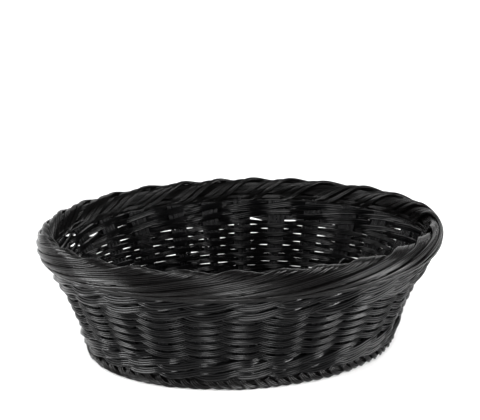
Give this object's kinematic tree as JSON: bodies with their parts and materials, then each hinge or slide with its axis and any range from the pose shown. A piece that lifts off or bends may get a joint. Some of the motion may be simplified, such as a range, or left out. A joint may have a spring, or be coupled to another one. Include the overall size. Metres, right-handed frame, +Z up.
{
  "type": "woven fruit basket",
  "caption": "Open oval basket with flared wall, hand-woven from flat black plastic cane, with rolled rim and foot borders and a woven base.",
  "frame": {"origin": "centre of the plane the foot border stands on", "axes": "+Z up through the open top, +X along the long axis of the oval, +Y across it"},
  "size_m": [0.38, 0.3122, 0.1201],
  "materials": {
    "weaving_cane": "ribbed flat cane, satin to semi-gloss",
    "stake_cane": "ribbed flat cane, satin to semi-gloss",
    "border_cane": "ribbed flat cane, semi-gloss"
  },
  "bodies": {
    "root": {"base_cross_sticks": "stake_cane", "base_long_sticks": "stake_cane", "base_round_01": "weaving_cane", "base_round_02": "weaving_cane", "base_round_03": "weaving_cane", "base_round_04": "weaving_cane", "base_round_05": "weaving_cane", "base_round_06": "weaving_cane", "base_round_07": "weaving_cane", "base_round_08": "weaving_cane", "base_round_09": "weaving_cane", "base_round_10": "weaving_cane", "foot_core": "border_cane", "foot_wraps": "border_cane", "stakes": "stake_cane", "bye_stakes": "stake_cane", "lower_wale_a": "weaving_cane", "lower_wale_b": "weaving_cane", "lower_wale_c": "weaving_cane", "weave_row_01": "weaving_cane", "weave_row_02": "weaving_cane", "weave_row_03": "weaving_cane", "weave_row_04": "weaving_cane", "weave_row_05": "weaving_cane", "weave_row_06": "weaving_cane", "weave_row_07": "weaving_cane", "weave_row_08": "weaving_cane", "weave_row_09": "weaving_cane", "weave_row_10": "weaving_cane", "weave_row_11": "weaving_cane", "weave_row_12": "weaving_cane", "upper_wale_a": "weaving_cane", "upper_wale_b": "weaving_cane", "upper_wale_c": "weaving_cane", "rim_core": "border_cane", "rim_wraps": "border_cane", "rim_tucks": "border_cane"}
  },
  "joints": []
}
